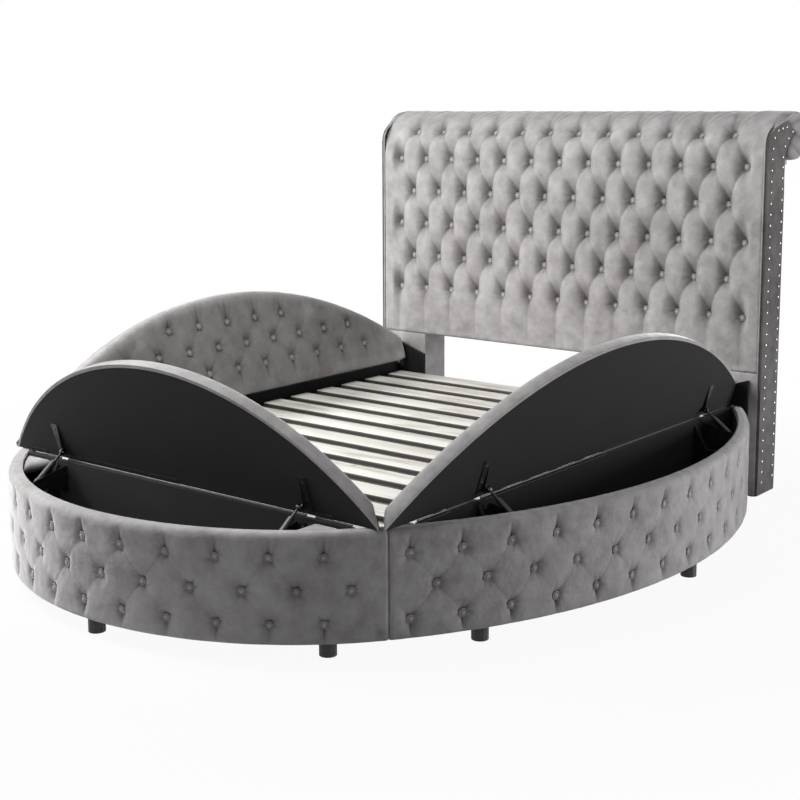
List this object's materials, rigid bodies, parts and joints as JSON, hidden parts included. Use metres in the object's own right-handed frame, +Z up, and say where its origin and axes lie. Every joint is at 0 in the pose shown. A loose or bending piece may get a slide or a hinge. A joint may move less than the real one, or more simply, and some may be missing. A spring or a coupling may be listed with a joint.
{
  "type": "upholstered bed",
  "caption": "Curved upholstered storage bed in grey tufted velvet, with rolled headboard, hinged lids on gas struts round the mattress well, and a slatted base.",
  "frame": {"origin": "middle of the bed's box on the floor, with the lids open", "axes": "+Z up, +Y towards the headboard, +X to the right of someone facing the headboard from the foot"},
  "size_m": [2.2678, 2.71, 1.44],
  "materials": {
    "grey_velvet": "matt",
    "black_lined_board": "matt",
    "poplar": "satin",
    "black_steel": "satin",
    "bright_steel": "satin",
    "black_plastic": "matt",
    "nail_metal": "polished"
  },
  "bodies": {
    "bed_frame": {"box_floors": "black_lined_board", "box_dividers": "black_lined_board", "box_feet": "black_plastic", "foot_box_corner_pads": "grey_velvet", "hinge_wall_leaves": "bright_steel", "hinge_pins": "bright_steel", "strut_brackets": "black_steel", "wall_buttons": "grey_velvet", "slats": "poplar", "slat_ledgers": "black_lined_board", "centre_rail": "black_lined_board", "centre_legs": "black_plastic", "head_crossrail": "black_lined_board", "headboard_core": "black_lined_board", "headboard_tufted_panel": "grey_velvet", "headboard_buttons": "grey_velvet", "headboard_back": "grey_velvet", "headboard_end_panels": "grey_velvet", "headboard_roll_ends": "grey_velvet", "headboard_nails": "nail_metal", "headboard_legs": "grey_velvet", "leg_glides": "black_plastic", "leg_mounting_boards": "black_lined_board", "foot_box_wall": "black_lined_board", "foot_wall_upholstery": "grey_velvet", "foot_box_inner_wall": "black_lined_board", "left_box_wall": "black_lined_board", "left_wall_upholstery": "grey_velvet", "left_box_inner_wall": "black_lined_board", "right_box_wall": "black_lined_board", "right_wall_upholstery": "grey_velvet", "right_box_inner_wall": "black_lined_board"},
    "foot_lid": {"foot_lid_board": "black_lined_board", "foot_lid_cushion": "grey_velvet", "foot_lid_buttons": "grey_velvet", "foot_lid_hinge_leaves": "bright_steel", "foot_lid_arms": "black_steel"},
    "foot_strut_tube_right": {"foot_strut_tube_right": "black_steel"},
    "foot_strut_rod_right": {"foot_strut_rod_right": "bright_steel"},
    "foot_strut_tube_left": {"foot_strut_tube_left": "black_steel"},
    "foot_strut_rod_left": {"foot_strut_rod_left": "bright_steel"},
    "left_lid": {"left_lid_board": "black_lined_board", "left_lid_cushion": "grey_velvet", "left_lid_buttons": "grey_velvet", "left_lid_hinge_leaves": "bright_steel", "left_lid_arms": "black_steel"},
    "left_strut_tube_foot_end": {"left_strut_tube_foot_end": "black_steel"},
    "left_strut_rod_foot_end": {"left_strut_rod_foot_end": "bright_steel"},
    "left_strut_tube_head_end": {"left_strut_tube_head_end": "black_steel"},
    "left_strut_rod_head_end": {"left_strut_rod_head_end": "bright_steel"},
    "right_lid": {"right_lid_board": "black_lined_board", "right_lid_cushion": "grey_velvet", "right_lid_buttons": "grey_velvet", "right_lid_hinge_leaves": "bright_steel", "right_lid_arms": "black_steel"},
    "right_strut_tube_foot_end": {"right_strut_tube_foot_end": "black_steel"},
    "right_strut_rod_foot_end": {"right_strut_rod_foot_end": "bright_steel"},
    "right_strut_tube_head_end": {"right_strut_tube_head_end": "black_steel"},
    "right_strut_rod_head_end": {"right_strut_rod_head_end": "bright_steel"}
  },
  "joints": [
    {"name": "foot_lid_hinge", "type": "hinge", "parent": "bed_frame", "child": "foot_lid", "pos_m": [0, -0.985, 0.355], "axis": [1, 0, 0], "range_deg": [0, 72]},
    {"name": "foot_strut_tilt_right", "type": "hinge", "parent": "bed_frame", "child": "foot_strut_tube_right", "pos_m": [0.508, -1.119, 0.303], "axis": [-1, 0, 0], "range_deg": [0, 13.9]},
    {"name": "foot_strut_stroke_right", "type": "slide", "parent": "foot_strut_tube_right", "child": "foot_strut_rod_right", "axis": [0, -0.8012, -0.5984], "range_m": [0, 0.0283]},
    {"name": "foot_strut_tilt_left", "type": "hinge", "parent": "bed_frame", "child": "foot_strut_tube_left", "pos_m": [-0.508, -1.119, 0.303], "axis": [-1, 0, 0], "range_deg": [0, 13.9]},
    {"name": "foot_strut_stroke_left", "type": "slide", "parent": "foot_strut_tube_left", "child": "foot_strut_rod_left", "axis": [0, -0.8012, -0.5984], "range_m": [0, 0.0283]},
    {"name": "left_lid_hinge", "type": "hinge", "parent": "bed_frame", "child": "left_lid", "pos_m": [-0.785, 0.09, 0.355], "axis": [0, -1, 0], "range_deg": [0, 72]},
    {"name": "left_strut_tilt_foot_end", "type": "hinge", "parent": "bed_frame", "child": "left_strut_tube_foot_end", "pos_m": [-0.919, -0.544, 0.303], "axis": [0, 1, 0], "range_deg": [0, 13.9]},
    {"name": "left_strut_stroke_foot_end", "type": "slide", "parent": "left_strut_tube_foot_end", "child": "left_strut_rod_foot_end", "axis": [-0.8012, 0, -0.5984], "range_m": [0, 0.0283]},
    {"name": "left_strut_tilt_head_end", "type": "hinge", "parent": "bed_frame", "child": "left_strut_tube_head_end", "pos_m": [-0.919, 0.805, 0.303], "axis": [0, 1, 0], "range_deg": [0, 13.9]},
    {"name": "left_strut_stroke_head_end", "type": "slide", "parent": "left_strut_tube_head_end", "child": "left_strut_rod_head_end", "axis": [-0.8012, 0, -0.5984], "range_m": [0, 0.0283]},
    {"name": "right_lid_hinge", "type": "hinge", "parent": "bed_frame", "child": "right_lid", "pos_m": [0.785, 0.09, 0.355], "axis": [0, 1, 0], "range_deg": [0, 72]},
    {"name": "right_strut_tilt_foot_end", "type": "hinge", "parent": "bed_frame", "child": "right_strut_tube_foot_end", "pos_m": [0.919, -0.544, 0.303], "axis": [0, -1, 0], "range_deg": [0, 13.9]},
    {"name": "right_strut_stroke_foot_end", "type": "slide", "parent": "right_strut_tube_foot_end", "child": "right_strut_rod_foot_end", "axis": [0.8012, 0, -0.5984], "range_m": [0, 0.0283]},
    {"name": "right_strut_tilt_head_end", "type": "hinge", "parent": "bed_frame", "child": "right_strut_tube_head_end", "pos_m": [0.919, 0.805, 0.303], "axis": [0, -1, 0], "range_deg": [0, 13.9]},
    {"name": "right_strut_stroke_head_end", "type": "slide", "parent": "right_strut_tube_head_end", "child": "right_strut_rod_head_end", "axis": [0.8012, 0, -0.5984], "range_m": [0, 0.0283]}
  ],
  "couplings": [
    {"joint": "foot_strut_tilt_right", "follows": "foot_lid_hinge", "ratio": 0.1922},
    {"joint": "foot_strut_stroke_right", "follows": "foot_lid_hinge", "m_per_rad": 0.02244},
    {"joint": "foot_strut_tilt_left", "follows": "foot_lid_hinge", "ratio": 0.1922},
    {"joint": "foot_strut_stroke_left", "follows": "foot_lid_hinge", "m_per_rad": 0.02244},
    {"joint": "left_strut_tilt_foot_end", "follows": "left_lid_hinge", "ratio": 0.1922},
    {"joint": "left_strut_stroke_foot_end", "follows": "left_lid_hinge", "m_per_rad": 0.02244},
    {"joint": "left_strut_tilt_head_end", "follows": "left_lid_hinge", "ratio": 0.1922},
    {"joint": "left_strut_stroke_head_end", "follows": "left_lid_hinge", "m_per_rad": 0.02244},
    {"joint": "right_strut_tilt_foot_end", "follows": "right_lid_hinge", "ratio": 0.1922},
    {"joint": "right_strut_stroke_foot_end", "follows": "right_lid_hinge", "m_per_rad": 0.02244},
    {"joint": "right_strut_tilt_head_end", "follows": "right_lid_hinge", "ratio": 0.1922},
    {"joint": "right_strut_stroke_head_end", "follows": "right_lid_hinge", "m_per_rad": 0.02244}
  ]
}
